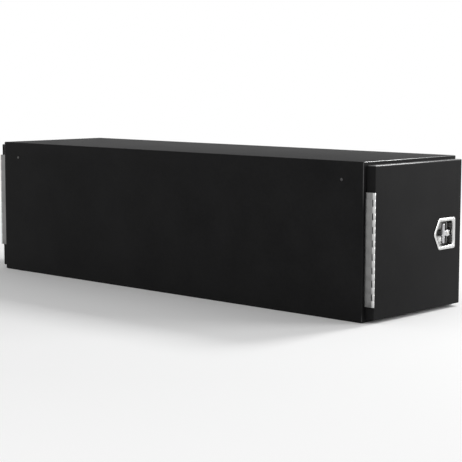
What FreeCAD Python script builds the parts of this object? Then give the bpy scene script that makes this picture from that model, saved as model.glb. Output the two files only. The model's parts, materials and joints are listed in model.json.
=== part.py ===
import FreeCAD, Part
import math
import os
import Sketcher

# Tunnel tool box in millimetres. +X runs along the length to the right end, +Y to the rear, +Z up.
# The origin is the centre of the floor's underside. t is a distance outwards from the body's end face,
# s a distance inwards from the body's front face.

doc = FreeCAD.newDocument("TunnelToolBox")
sheet = doc.addObject("Spreadsheet::Sheet", "Sizes")

drivingSizes = {
    # body
    "bodyLength": 2155.2, "bodyDepth": 609.6, "bodyHeight": 609.6,
    "sheetGauge": 1.9, "bendRadius": 3.8, "endEdgeBevel": 1.0, "frameWidth": 45.0, "frameReturn": 12.0,
    "hatWidth": 60.0, "hatHeight": 20.0, "hatFlange": 16.0, "hatGauge": 1.5, "hatEndGap": 6.0,
    # doors
    "doorThickness": 40.0, "doorGap": 0.8, "doorRearMargin": 16.0, "doorEndMargin": 12.7,
    "linerStandoff": 12.0, "linerGauge": 1.2, "linerDepth": 22.0, "linerBend": 2.4,
    "accessMargin": 5.0, "sealInset": 30.0, "sealWidth": 12.0, "sealGap": 0.3, "sealCorner": 20.0,
    "sealCrown": 3.5,
    # continuous hinge
    "pinDiameter": 6.0, "runningGap": 0.05, "leafGauge": 1.7, "pinInset": 13.0, "pinBeyondDoor": 1.5,
    "knucklePitch": 25.4, "knuckleCount": 17, "knuckleGap": 0.3, "hingeLowGap": 50.8, "leafEdgeGap": 0.6,
    "notchGap": 1.2, "leafCorner": 3.0, "railReach": 34.0, "railFoot": 6.5,
    # latch dish, measured from the middle of its rim
    "latchFromRearEdge": 117.25, "rimHalfWidth": 74.0, "rimHalfHeight": 62.5, "shoulderRun": 35.0,
    "rimCorner": 10.0, "rimGauge": 1.5, "rimWidth": 14.5, "mouthBevel": 5.0, "dishDepth": 31.0,
    "dishCorner": 14.0, "dishFloorBevel": 3.0, "gasketGauge": 1.0, "gasketSetback": 0.6, "cutoutGap": 0.3,
    "rivetInset": 8.3, "rivetShoulderU": 3.4, "rivetShoulderV": 5.9, "rivetHeadRadius": 4.0,
    "rivetHeadHeight": 1.3,
    # handle, spindle and cam
    "spindleOffset": 44.0, "pivotDepth": 13.0, "gripReach": 42.0, "gripDepth": 7.0, "gripRadius": 7.0, "gripBevel": 2.5,
    "gripHalfLength": 40.0, "gripEndBevel": 3.6, "stemHalfWidth": 11.0, "stemTop": 5.0, "stemFoot": 17.0, "earRadius": 8.0, "tongueHalfWidth": 5.0,
    "tongueRadius": 6.0, "forkGap": 0.3, "forkFloorGap": 0.9, "handlePinRadius": 2.5,
    "collarRadius": 9.0, "collarHeight": 3.0, "shaftRadius": 6.0, "bushRadius": 9.0,
    "bushStand": 1.5, "bushLength": 7.5, "camGap": 0.3, "camGauge": 4.0, "camHubRadius": 12.5, "camOverlap": 9.75,
    "camNoseRadius": 8.0, "camSquare": 9.0, "camNutRadius": 7.5, "camNutHeight": 5.5, "studRadius": 4.0,
    "studTail": 2.0, "threadGap": 0.05, "strikeGauge": 2.0, "strikeLength": 60.0, "strikeWidth": 25.0, "strikeLeg": 9.0,
    # lock
    "lockReach": 15.5, "housingRadius": 13.5, "housingTop": 2.5, "housingDepth": 17.5, "housingEdge": 1.2, "barrelRadius": 6.3,
    "barrelLip": 0.8, "barrelLipRadius": 7.6, "plugRadius": 4.5, "keyWidth": 1.2, "keyHeight": 6.4,
    "keyDepth": 9.0, "pawlReach": 10.0, "pawlHalfWidth": 2.2, "pawlGauge": 1.6, "keeperGap": 0.4,
    "keeperGauge": 1.5, "keeperHook": 4.5, "keeperWidth": 12.0,
    # stay bolts near the top of the front panel
    "stayFromEnd": 105.0, "stayBelowTop": 71.0, "stayHeadRadius": 6.0, "stayHeadHeight": 2.6,
    "stayShankRadius": 3.0, "stayHoleGap": 0.2, "stayNutRadius": 5.8, "stayNutHeight": 5.0,
    "stayShankTail": 2.0, "eyeGauge": 2.5, "eyeWidth": 22.0, "eyeReach": 24.0, "eyeRim": 6.0,
    "doorEyeFromHinge": 150.0,
}

# Lengths that follow from the ones above.
derivedSizes = {
    "endX": "bodyLength / 2",
    "frontY": "-bodyDepth / 2",
    "rearY": "bodyDepth / 2",
    "innerBend": "bendRadius - sheetGauge",
    "knuckleRadius": "pinDiameter / 2 + runningGap + leafGauge",
    "doorFrontS": "pinInset + knuckleRadius",
    "doorFrontY": "frontY + doorFrontS",
    "doorRearY": "rearY - doorRearMargin",
    "doorLowZ": "doorEndMargin",
    "doorTopZ": "bodyHeight - doorEndMargin",
    "doorFaceX": "endX + doorThickness",
    "linerX": "endX + linerStandoff",
    "pinX": "endX + doorThickness + pinBeyondDoor",
    "pinY": "frontY + pinInset",
    "hingeLowZ": "doorLowZ + hingeLowGap",
    "hingeLength": "knuckleCount * knucklePitch",
    "latchY": "doorRearY - latchFromRearEdge",
    "latchZ": "bodyHeight / 2",
    "slantLength": "sqrt(shoulderRun * shoulderRun + rimHalfHeight * rimHalfHeight)",
    "rimTop": "gasketGauge + rimGauge",
    "dishFloor": "dishDepth - rimTop",
    "camFace": "doorThickness + frameReturn + strikeGauge + camGap",
    "camReach": "rearY - frameWidth - latchY - spindleOffset + camOverlap",
    "collarFoot": "dishFloor - bushStand - runningGap",
    "gripU": "spindleOffset - gripReach",
    "lockU": "spindleOffset - lockReach",
    "forkFloorU": "spindleOffset - tongueRadius - forkFloorGap",
    "keeperTop": "housingTop + housingDepth + keeperGap",
    "pawlTop": "keeperTop + keeperGauge + keeperGap",
}


def fillSheet():
    row = 1
    for alias, number in drivingSizes.items():
        sheet.set("A%d" % row, alias)
        sheet.set("B%d" % row, str(number))
        sheet.setAlias("B%d" % row, alias)
        row += 1
    for alias, formula in derivedSizes.items():
        sheet.set("A%d" % row, alias)
        sheet.set("B%d" % row, "=" + formula)
        sheet.setAlias("B%d" % row, alias)
        row += 1
    doc.recompute()


fillSheet()
aliases = sorted(list(drivingSizes) + list(derivedSizes), key=len, reverse=True)


def size(alias):
    return float(sheet.get(alias))


def bound(text):
    """Turn plain alias words in a formula into references to the sheet's cells."""
    words = []
    word = ""
    for letter in str(text) + " ":
        if letter.isalnum():
            word += letter
            continue
        words.append("Sizes." + word if word in aliases else word)
        words.append(letter)
        word = ""
    return "".join(words).strip()


def bind(thing, prop, text):
    thing.setExpression(prop, bound(text))


# Sketches

def originPlane(body, role):
    for feature in body.Origin.OriginFeatures:
        if feature.Role == role:
            return feature
    raise ValueError(role)


def newSketch(body, name, role, offset):
    sketch = body.newObject("Sketcher::SketchObject", name)
    sketch.AttachmentSupport = (originPlane(body, role), [""])
    sketch.MapMode = "FlatFace"
    bind(sketch, "AttachmentOffset.Base.z", offset)
    return sketch


def place(sketch, geometry, point, across, up):
    index = sketch.addConstraint(Sketcher.Constraint("DistanceX", geometry, point, 1.0 + geometry))
    bind(sketch, "Constraints[%d]" % index, across)
    index = sketch.addConstraint(Sketcher.Constraint("DistanceY", geometry, point, 2.0 + geometry))
    bind(sketch, "Constraints[%d]" % index, up)


def polygon(body, name, role, points, offset="0"):
    """A closed outline whose every corner is bound to the sheet."""
    sketch = newSketch(body, name, role, offset)
    count = len(points)
    for k in range(count):
        start = FreeCAD.Vector(1.0 + k, 2.0 + k, 0)
        end = FreeCAD.Vector(1.0 + (k + 1) % count, 2.0 + (k + 1) % count, 0)
        sketch.addGeometry(Part.LineSegment(start, end))
    for k in range(count):
        sketch.addConstraint(Sketcher.Constraint("Coincident", k, 2, (k + 1) % count, 1))
    for k, (across, up) in enumerate(points):
        place(sketch, k, 1, across, up)
    return sketch


def rectangle(body, name, role, low, high, offset="0"):
    corners = [(low[0], low[1]), (high[0], low[1]), (high[0], high[1]), (low[0], high[1])]
    return polygon(body, name, role, corners, offset)


def regular(body, name, role, centre, flatRadius, sides, offset="0"):
    """An even-sided outline whose flats lie at the radius, with one flat straight up."""
    points = []
    for k in range(sides):
        angle = 2 * math.pi * (k + 0.5) / sides + math.pi / 2
        across = math.cos(angle) / math.cos(math.pi / sides)
        up = math.sin(angle) / math.cos(math.pi / sides)
        points.append(("%s + (%s) * %.6f" % (centre[0], flatRadius, across),
                       "%s + (%s) * %.6f" % (centre[1], flatRadius, up)))
    return polygon(body, name, role, points, offset)


def discs(body, name, role, centres, radius, offset="0"):
    sketch = newSketch(body, name, role, offset)
    for k, (across, up) in enumerate(centres):
        circle = Part.Circle(FreeCAD.Vector(1.0 + k, 2.0 + k, 0), FreeCAD.Vector(0, 0, 1), 1.0)
        sketch.addGeometry(circle)
        place(sketch, k, 3, across, up)
        index = sketch.addConstraint(Sketcher.Constraint("Radius", k, 1.0))
        bind(sketch, "Constraints[%d]" % index, radius)
    return sketch


# Features

def newBody(name):
    body = doc.addObject("PartDesign::Body", name)
    body.Label = name
    return body


def pad(body, sketch, length, backwards=False, bothWays=False):
    feature = body.newObject("PartDesign::Pad", sketch.Name + "Pad")
    feature.Profile = sketch
    bind(feature, "Length", length)
    feature.Reversed = backwards
    feature.SideType = "Symmetric" if bothWays else "One side"
    doc.recompute()
    return feature


def pocket(body, sketch, length, backwards=False, bothWays=False):
    before = body.Shape.Volume
    feature = body.newObject("PartDesign::Pocket", sketch.Name + "Pocket")
    feature.Profile = sketch
    bind(feature, "Length", length)
    feature.Reversed = backwards
    feature.SideType = "Symmetric" if bothWays else "One side"
    doc.recompute()
    if not feature.Shape.Volume < before:
        raise ValueError(feature.Name + " cuts nothing")
    return feature


def repeated(body, originals, role, step, count):
    """A row of copies along one of the body's own axes."""
    row = body.newObject("PartDesign::LinearPattern", originals[0].Name + "Row")
    row.Originals = originals
    row.Direction = (originPlane(body, role), [""])
    row.Mode = "Spacing"
    bind(row, "Offset", step)
    bind(row, "Occurrences", count)
    body.Tip = row
    doc.recompute()
    return row


def rounded(body, name, radius, wanted):
    """Round the tip's edges that the test accepts."""
    tip = body.Tip
    names = ["Edge%d" % (k + 1) for k, edge in enumerate(tip.Shape.Edges) if wanted(edge)]
    if not names:
        raise ValueError(name + " finds no edge")
    feature = body.newObject("PartDesign::Fillet", name)
    feature.Base = (tip, names)
    bind(feature, "Radius", radius)
    doc.recompute()
    return feature


def chamfered(body, name, depth, wanted):
    """Cut the tip's edges that the test accepts at 45 degrees."""
    tip = body.Tip
    names = ["Edge%d" % (k + 1) for k, edge in enumerate(tip.Shape.Edges) if wanted(edge)]
    if not names:
        raise ValueError(name + " finds no edge")
    feature = body.newObject("PartDesign::Chamfer", name)
    feature.Base = (tip, names)
    bind(feature, "Size", depth)
    doc.recompute()
    return feature


near = 0.001


def level(edge, axis, value):
    """True for an edge that keeps one coordinate along its whole length."""
    low = getattr(edge.BoundBox, axis + "Min")
    high = getattr(edge.BoundBox, axis + "Max")
    return abs(low - value) < near and abs(high - value) < near


def along(edge, axis):
    """True for a straight edge parallel to an axis."""
    flat = [other for other in "XYZ" if other != axis]
    return all(getattr(edge.BoundBox, other + "Length") < near for other in flat)


def within(edge, axis, low, high):
    box = edge.BoundBox
    return getattr(box, axis + "Min") > low - near and getattr(box, axis + "Max") < high + near


# Where things go. An end part is built at the right end. The left end is the same part turned half a turn
# about the box's front to rear axis, so the left door hangs the other way up.

finished = []
turnedOver = FreeCAD.Rotation(FreeCAD.Vector(0, 1, 0), 180)
latchTurn = FreeCAD.Rotation(FreeCAD.Vector(1, 1, 1), 120)


def keep(thing, name):
    thing.Label = name
    finished.append((name, thing))


def seatAtEnd(thing, side, name):
    if side == "left":
        thing.Placement = FreeCAD.Placement(FreeCAD.Vector(0, 0, 0), turnedOver)
        bind(thing, "Placement.Base.z", "bodyHeight")
    keep(thing, side + "_" + name)


def seatInLatch(thing, side, name):
    """Latch parts are built with U along the door's width, V up and W out of its face."""
    if side == "left":
        thing.Placement = FreeCAD.Placement(FreeCAD.Vector(0, 0, 0), turnedOver.multiply(latchTurn))
        bind(thing, "Placement.Base.x", "-doorFaceX")
    else:
        thing.Placement = FreeCAD.Placement(FreeCAD.Vector(0, 0, 0), latchTurn)
        bind(thing, "Placement.Base.x", "doorFaceX")
    bind(thing, "Placement.Base.y", "latchY")
    bind(thing, "Placement.Base.z", "latchZ")
    keep(thing, side + "_" + name)


# The body: two folded sheets that meet at the front bottom and the rear top edges, and a frame in each end.

def stayPlaces():
    return [("endX - stayFromEnd", "bodyHeight - stayBelowTop"),
            ("stayFromEnd - endX", "bodyHeight - stayBelowTop")]


def endEdge(edge, outerY, outerZ):
    """True for a sheet's outer edge at either end of the body."""
    if not (level(edge, "X", size("endX")) or level(edge, "X", -size("endX"))):
        return False
    return level(edge, "Y", outerY) or level(edge, "Z", outerZ)


def frontTopShell():
    body = newBody("front_top_shell")
    wall = polygon(body, "FrontTopProfile", "YZ_Plane", [
        ("frontY", "0"), ("frontY", "bodyHeight"), ("rearY", "bodyHeight"),
        ("rearY", "bodyHeight - sheetGauge"), ("frontY + sheetGauge", "bodyHeight - sheetGauge"),
        ("frontY + sheetGauge", "0")])
    pad(body, wall, "bodyLength", bothWays=True)
    holes = discs(body, "StayHoles", "XZ_Plane", stayPlaces(), "stayShankRadius + stayHoleGap", "-frontY")
    pocket(body, holes, "sheetGauge")
    front, top = size("frontY"), size("bodyHeight")
    rounded(body, "FrontTopBend", "bendRadius", lambda edge: (
        along(edge, "X") and level(edge, "Y", front) and level(edge, "Z", top)))
    inside, under = front + size("sheetGauge"), top - size("sheetGauge")
    rounded(body, "FrontTopInnerBend", "innerBend", lambda edge: (
        along(edge, "X") and level(edge, "Y", inside) and level(edge, "Z", under)))
    chamfered(body, "FrontTopEnds", "endEdgeBevel", lambda edge: (
        edge.Length > size("bodyDepth") / 2 and endEdge(edge, front, top)))
    keep(body, "front_top_shell")


def rearFloorShell():
    body = newBody("rear_floor_shell")
    wall = polygon(body, "RearFloorProfile", "YZ_Plane", [
        ("frontY + sheetGauge", "0"), ("rearY", "0"), ("rearY", "bodyHeight - sheetGauge"),
        ("rearY - sheetGauge", "bodyHeight - sheetGauge"), ("rearY - sheetGauge", "sheetGauge"),
        ("frontY + sheetGauge", "sheetGauge")])
    pad(body, wall, "bodyLength", bothWays=True)
    rear = size("rearY")
    rounded(body, "RearFloorBend", "bendRadius", lambda edge: (
        along(edge, "X") and level(edge, "Y", rear) and level(edge, "Z", 0)))
    inside, over = rear - size("sheetGauge"), size("sheetGauge")
    rounded(body, "RearFloorInnerBend", "innerBend", lambda edge: (
        along(edge, "X") and level(edge, "Y", inside) and level(edge, "Z", over)))
    chamfered(body, "RearFloorEnds", "endEdgeBevel", lambda edge: (
        edge.Length > size("bodyDepth") / 2 and endEdge(edge, rear, 0)))
    keep(body, "rear_floor_shell")


def endFrame(side):
    """Flat ring flush with the end, its inner edge turned in around the doorway."""
    body = newBody(side + "_end_frame")
    face = rectangle(body, side + "FrameFace", "YZ_Plane", ("frontY + sheetGauge", "sheetGauge"),
                     ("rearY - sheetGauge", "bodyHeight - sheetGauge"), "endX")
    pad(body, face, "sheetGauge", backwards=True)
    outer = "frameWidth - sheetGauge"
    lip = rectangle(body, side + "FrameReturn", "YZ_Plane", ("frontY + " + outer, outer),
                    ("rearY - (" + outer + ")", "bodyHeight - (" + outer + ")"), "endX")
    pad(body, lip, "frameReturn", backwards=True)
    doorway = rectangle(body, side + "Doorway", "YZ_Plane", ("frontY + frameWidth", "frameWidth"),
                        ("rearY - frameWidth", "bodyHeight - frameWidth"), "endX")
    pocket(body, doorway, "frameReturn")
    mouth, low, high = size("endX"), size("frontY") + size("frameWidth"), size("rearY") - size("frameWidth")
    rounded(body, side + "DoorwayBend", "innerBend", lambda edge: (
        level(edge, "X", mouth) and within(edge, "Y", low, high)))
    seatAtEnd(body, side, "end_frame")


def roofStiffeners():
    """Three hat channels across the top, each a quarter of the length from the next."""
    body = newBody("roof_stiffeners")
    roof = "bodyHeight - sheetGauge"
    crown = roof + " - hatHeight"
    hat = polygon(body, "HatProfile", "XZ_Plane", [
        ("-bodyLength / 4 - hatWidth / 2 - hatFlange", roof), ("-bodyLength / 4 - hatWidth / 2", roof),
        ("-bodyLength / 4 - hatWidth / 2 + hatGauge", roof),
        ("-bodyLength / 4 - hatWidth / 2 + hatGauge", crown + " + hatGauge"),
        ("-bodyLength / 4 + hatWidth / 2 - hatGauge", crown + " + hatGauge"),
        ("-bodyLength / 4 + hatWidth / 2 - hatGauge", roof),
        ("-bodyLength / 4 + hatWidth / 2 + hatFlange", roof),
        ("-bodyLength / 4 + hatWidth / 2 + hatFlange", roof + " - hatGauge"),
        ("-bodyLength / 4 + hatWidth / 2", roof + " - hatGauge"),
        ("-bodyLength / 4 + hatWidth / 2", crown), ("-bodyLength / 4 - hatWidth / 2", crown),
        ("-bodyLength / 4 - hatWidth / 2", roof + " - hatGauge"),
        ("-bodyLength / 4 - hatWidth / 2 - hatFlange", roof + " - hatGauge")])
    first = pad(body, hat, "bodyDepth - 2 * sheetGauge - 2 * hatEndGap", bothWays=True)
    repeated(body, [first], "X_Axis", "bodyLength / 4", "3")
    keep(body, "roof_stiffeners")


# Continuous hinge. Its rolled knuckles are twelve-sided, so that their long row stays light.

knuckleSides = 12


def hingeRail(side):
    """Angle with its foot on the end face. Its leg backs the frame leaf."""
    body = newBody(side + "_hinge_rail")
    leafBack = "pinY - knuckleRadius + leafGauge"
    profile = polygon(body, side + "RailProfile", "XY_Plane", [
        ("endX", leafBack), ("endX + railReach", leafBack),
        ("endX + railReach", leafBack + " + sheetGauge"),
        ("endX + sheetGauge", leafBack + " + sheetGauge"),
        ("endX + sheetGauge", leafBack + " + railFoot"), ("endX", leafBack + " + railFoot")], "hingeLowZ")
    pad(body, profile, "hingeLength")
    heel, reach = size("endX"), size("endX") + size("railReach")
    rounded(body, side + "RailHeel", "innerBend", lambda edge: (
        along(edge, "Z") and level(edge, "X", heel + size("sheetGauge"))
        and edge.CenterOfMass.y < size("pinY") - size("knuckleRadius") + size("leafGauge")
        + size("sheetGauge") + near))
    chamfered(body, side + "RailCorners", "leafCorner", lambda edge: (
        along(edge, "Y") and level(edge, "X", reach)))
    seatAtEnd(body, side, "hinge_rail")


def hingeLeaf(side, name, onFrame):
    """A leaf with every second knuckle. The other leaf's knuckles stand in its notches."""
    body = newBody(side + "_" + name)
    title = side + ("Frame" if onFrame else "Door")
    outer = "pinY - knuckleRadius" if onFrame else "pinY + knuckleRadius - leafGauge"
    edgeX = "endX + leafEdgeGap" if onFrame else "endX + sheetGauge + leafEdgeGap"
    plate = rectangle(body, title + "Plate", "XY_Plane", (edgeX, outer), ("pinX", outer + " + leafGauge"),
                      "hingeLowZ")
    pad(body, plate, "hingeLength")
    barrel = regular(body, title + "Barrel", "XY_Plane", ("pinX", "pinY"), "knuckleRadius", knuckleSides,
                     "hingeLowZ")
    pad(body, barrel, "hingeLength")
    bore = regular(body, title + "Bore", "XY_Plane", ("pinX", "pinY"), "pinDiameter / 2 + runningGap",
                   knuckleSides, "hingeLowZ")
    pocket(body, bore, "hingeLength", backwards=True)
    firstNotch = "hingeLowZ + knucklePitch - knuckleGap / 2" if onFrame else "hingeLowZ - knuckleGap / 2"
    notch = rectangle(body, title + "Notch", "XY_Plane",
                      ("pinX - knuckleRadius - notchGap", "pinY - knuckleRadius - notchGap"),
                      ("pinX + knuckleRadius + notchGap", "pinY + knuckleRadius + notchGap"), firstNotch)
    cut = pocket(body, notch, "knucklePitch + knuckleGap", backwards=True)
    count = "(knuckleCount - 1) / 2" if onFrame else "(knuckleCount + 1) / 2"
    repeated(body, [cut], "Z_Axis", "2 * knucklePitch", count)
    leafEdge = size("endX") + size("leafEdgeGap") + (0 if onFrame else size("sheetGauge"))
    chamfered(body, title + "LeafCorners", "leafCorner", lambda edge: (
        along(edge, "Y") and level(edge, "X", leafEdge)))
    seatAtEnd(body, side, name)


def hingePin(side):
    pin = doc.addObject("Part::Cylinder", side + "_hinge_pin")
    bind(pin, "Radius", "pinDiameter / 2")
    bind(pin, "Height", "hingeLength")
    if side == "right":
        bind(pin, "Placement.Base.x", "pinX")
        bind(pin, "Placement.Base.z", "hingeLowZ")
    else:
        bind(pin, "Placement.Base.x", "-pinX")
        bind(pin, "Placement.Base.z", "bodyHeight - hingeLowZ - hingeLength")
    bind(pin, "Placement.Base.y", "pinY")
    keep(pin, side + "_hinge_pin")


# Doors

def shelled(body, name, gauge, openX):
    """Hollow the tip to a wall, leaving out the face that lies at openX."""
    tip = body.Tip
    faces = ["Face%d" % (k + 1) for k, face in enumerate(tip.Shape.Faces)
             if abs(face.BoundBox.XMin - openX) < near and face.BoundBox.XLength < near]
    wall = body.newObject("PartDesign::Thickness", name)
    wall.Base = (tip, faces)
    bind(wall, "Value", gauge)
    wall.Reversed = True
    doc.recompute()
    return wall


def doorSkin(side):
    """Pan with folded edges and welded corners, pierced for the latch."""
    body = newBody(side + "_door_skin")
    outline = rectangle(body, side + "SkinOutline", "YZ_Plane", ("doorFrontY", "doorLowZ"),
                        ("doorRearY", "doorTopZ"), "endX + doorGap")
    pad(body, outline, "doorThickness - doorGap")
    face = size("doorFaceX")
    rounded(body, side + "SkinBends", "bendRadius", lambda edge: level(edge, "X", face))
    shelled(body, side + "SkinWall", "sheetGauge", size("endX") + size("doorGap"))
    hole = polygon(body, side + "SkinCutout", "YZ_Plane", [
        ("latchY + (" + u + ")", "latchZ + (" + v + ")") for u, v in pentagon(cutoutInset)], "doorFaceX")
    pocket(body, hole, "2 * sheetGauge")
    rounded(body, side + "CutoutCorners", "dishCorner + mouthBevel", lambda edge: (
        along(edge, "X") and within(edge, "X", face - size("sheetGauge"), face)
        and edge.Length < size("sheetGauge") + near))
    seatAtEnd(body, side, "door_skin")


def doorLiner(side):
    """Tray that nests in the pan and closes its inner side, open round the latch."""
    body = newBody(side + "_door_liner")
    outline = rectangle(body, side + "LinerOutline", "YZ_Plane",
                        ("doorFrontY + sheetGauge", "doorLowZ + sheetGauge"),
                        ("doorRearY - sheetGauge", "doorTopZ - sheetGauge"), "linerX")
    pad(body, outline, "linerDepth")
    back = size("linerX")
    rounded(body, side + "LinerBends", "linerBend", lambda edge: level(edge, "X", back))
    shelled(body, side + "LinerWall", "linerGauge", back + size("linerDepth"))
    access = rectangle(body, side + "LinerAccess", "YZ_Plane",
                       ("latchY - rimHalfWidth - accessMargin", "latchZ - rimHalfHeight - accessMargin"),
                       ("latchY + rimHalfWidth + accessMargin", "latchZ + rimHalfHeight + accessMargin"),
                       "linerX")
    pocket(body, access, "2 * linerGauge", backwards=True)
    chamfered(body, side + "AccessCorners", "rimCorner", lambda edge: (
        along(edge, "X") and within(edge, "X", back, back + size("linerGauge"))))
    seatAtEnd(body, side, "door_liner")


def doorSeal(side):
    """Seal on the liner, its crown just off the body's frame."""
    body = newBody(side + "_door_seal")
    nearEdge = "sealInset - sealWidth / 2"
    farEdge = "sealInset + sealWidth / 2"
    outer = rectangle(body, side + "SealOuter", "YZ_Plane", ("frontY + " + nearEdge, nearEdge),
                      ("rearY - (" + nearEdge + ")", "bodyHeight - (" + nearEdge + ")"), "linerX")
    pad(body, outer, "linerStandoff - sealGap", backwards=True)
    rounded(body, side + "SealOuterCorners", "sealCorner + sealWidth / 2", lambda edge: along(edge, "X"))
    inner = rectangle(body, side + "SealInner", "YZ_Plane", ("frontY + " + farEdge, farEdge),
                      ("rearY - (" + farEdge + ")", "bodyHeight - (" + farEdge + ")"), "linerX")
    pocket(body, inner, "linerStandoff")
    reach = size("rearY") - size("sealInset") - size("sealWidth") / 2
    rounded(body, side + "SealInnerCorners", "sealCorner - sealWidth / 2", lambda edge: (
        along(edge, "X") and abs(abs(edge.CenterOfMass.y) - reach) < near))
    crown = size("endX") + size("sealGap")
    chamfered(body, side + "SealCrown", "sealCrown", lambda edge: level(edge, "X", crown))
    seatAtEnd(body, side, "door_seal")


def doorStayEye(side):
    """Tab on the liner, slotted for the hook of a stay, near the top of either door."""
    body = newBody(side + "_door_stay_eye")
    middle = "bodyHeight - stayBelowTop" if side == "right" else "stayBelowTop"
    y = "doorFrontY + doorEyeFromHinge"
    foot = rectangle(body, side + "EyeFoot", "YZ_Plane", (y, middle + " - eyeWidth / 2"),
                     (y + " + eyeWidth", middle + " + eyeWidth / 2"), "linerX")
    pad(body, foot, "eyeGauge", backwards=True)
    leg = rectangle(body, side + "EyeLeg", "YZ_Plane", (y, middle + " - eyeWidth / 2"),
                    (y + " + eyeGauge", middle + " + eyeWidth / 2"), "linerX")
    pad(body, leg, "eyeReach", backwards=True)
    slot = rectangle(body, side + "EyeSlot", "XZ_Plane",
                     ("linerX - eyeReach + eyeRim", middle + " - eyeWidth / 2 + eyeRim"),
                     ("linerX - eyeGauge - eyeRim", middle + " + eyeWidth / 2 - eyeRim"), "-(" + y + ")")
    pocket(body, slot, "eyeGauge")
    tipX = size("linerX") - size("eyeReach")
    chamfered(body, side + "EyeCorners", "eyeWidth / 4", lambda edge: (
        along(edge, "Y") and level(edge, "X", tipX)))
    seatAtEnd(body, side, "door_stay_eye")


# Latch dish and what fastens it

cutoutInset = "rimWidth - mouthBevel - cutoutGap"
bowlInset = "rimWidth - rimGauge"
rivetSides = 12
rivetPlaces = [
    ("rimHalfWidth - rivetInset", "rimHalfHeight - rivetInset"),
    ("rimHalfWidth - rivetInset", "rivetInset - rimHalfHeight"),
    ("shoulderRun - rimHalfWidth + rivetShoulderU", "rimHalfHeight - rivetShoulderV"),
    ("shoulderRun - rimHalfWidth + rivetShoulderU", "rivetShoulderV - rimHalfHeight"),
]


def pentagon(inset):
    """The rim's outline, moved inwards by the inset: a point towards the hinge and a flat far side."""
    point = "-rimHalfWidth + (" + inset + ") * slantLength / rimHalfHeight"
    height = "rimHalfHeight - (" + inset + ")"
    shoulder = point + " + (" + height + ") * shoulderRun / rimHalfHeight"
    far = "rimHalfWidth - (" + inset + ")"
    return [(point, "0"), (shoulder, "-(" + height + ")"), (far, "-(" + height + ")"), (far, height),
            (shoulder, height)]


def dishHollow(side):
    """The dish's inside, rounded in its corners and bevelled round its floor."""
    body = newBody(side + "_dish_hollow")
    hollow = polygon(body, side + "DishHollow", "XY_Plane", pentagon("rimWidth"), "rimTop")
    pad(body, hollow, "dishDepth", backwards=True)
    rounded(body, side + "HollowCorners", "dishCorner", lambda edge: along(edge, "Z"))
    floor = size("rimTop") - size("dishDepth")
    chamfered(body, side + "HollowFoot", "dishFloorBevel", lambda edge: level(edge, "Z", floor))
    return body


def latchDish(side):
    """Pressed pentagonal dish: a flat rim, a bevelled mouth, straight walls and a bevelled floor."""
    hollow = dishHollow(side)
    body = newBody(side + "_latch_dish")
    rim = polygon(body, side + "DishRim", "XY_Plane", pentagon("0"), "gasketGauge")
    pad(body, rim, "rimGauge")
    rounded(body, side + "RimCorners", "rimCorner", lambda edge: along(edge, "Z"))
    bowl = polygon(body, side + "DishBowl", "XY_Plane", pentagon(bowlInset), "gasketGauge")
    pad(body, bowl, "dishFloor + rimGauge + gasketGauge", backwards=True)
    under, floor = size("gasketGauge"), -size("dishFloor") - size("rimGauge")
    rounded(body, side + "BowlCorners", "dishCorner + rimGauge", lambda edge: (
        along(edge, "Z") and within(edge, "Z", floor, under)))
    chamfered(body, side + "BowlFoot", "dishFloorBevel + rimGauge / 2", lambda edge: level(edge, "Z", floor))
    reach = size("rimHalfWidth") - size("rimWidth") + size("rimGauge")
    chamfered(body, side + "BowlShoulder", "mouthBevel - rimGauge", lambda edge: (
        level(edge, "Z", under) and within(edge, "X", -reach, reach)
        and within(edge, "Y", -size("rimHalfHeight") + size("rimCorner"),
                   size("rimHalfHeight") - size("rimCorner"))))
    cut = body.newObject("PartDesign::Boolean", side + "DishCut")
    cut.Type = "Cut"
    cut.setObjects([hollow])
    body.Tip = cut
    doc.recompute()
    top, inside = size("rimTop"), size("rimHalfHeight") - size("rimWidth") + near
    chamfered(body, side + "HollowMouth", "mouthBevel", lambda edge: (
        level(edge, "Z", top) and within(edge, "Y", -inside, inside) and within(
            edge, "X", size("rimWidth") - size("rimHalfWidth"), size("rimHalfWidth") - size("rimWidth"))))
    bush = discs(body, side + "DishBushHole", "XY_Plane", [("spindleOffset", "0")], "bushRadius", "0")
    pocket(body, bush, "2 * dishDepth")
    seatInLatch(body, side, "latch_dish")


def latchGasket(side):
    body = newBody(side + "_latch_gasket")
    sheetOutline = polygon(body, side + "GasketOutline", "XY_Plane", pentagon("gasketSetback"))
    pad(body, sheetOutline, "gasketGauge")
    rounded(body, side + "GasketCorners", "rimCorner", lambda edge: along(edge, "Z"))
    hole = polygon(body, side + "GasketHole", "XY_Plane", pentagon(cutoutInset))
    pocket(body, hole, "gasketGauge", backwards=True)
    rounded(body, side + "GasketHoleCorners", "dishCorner + mouthBevel", lambda edge: (
        along(edge, "Z") and isCutoutCorner(edge)))
    seatInLatch(body, side, "latch_gasket")


def isCutoutCorner(edge):
    """True for an upright edge at a corner of the cut-out's outline."""
    inset = size("rimWidth") - size("mouthBevel") - size("cutoutGap")
    height = size("rimHalfHeight") - inset
    point = -size("rimHalfWidth") + inset * size("slantLength") / size("rimHalfHeight")
    shoulder = point + height * size("shoulderRun") / size("rimHalfHeight")
    far = size("rimHalfWidth") - inset
    corners = [(point, 0), (shoulder, height), (shoulder, -height), (far, height), (far, -height)]
    x, y = edge.CenterOfMass.x, edge.CenterOfMass.y
    return any(abs(x - u) < near and abs(y - v) < near for u, v in corners)


def latchRivets(side):
    """The rivets' low heads, seated on the rim."""
    body = newBody(side + "_latch_rivets")
    for k, place in enumerate(rivetPlaces):
        head = regular(body, side + "RivetHead%d" % k, "XY_Plane", place, "rivetHeadRadius", rivetSides,
                       "rimTop")
        pad(body, head, "rivetHeadHeight")
    seatInLatch(body, side, "latch_rivets")


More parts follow.
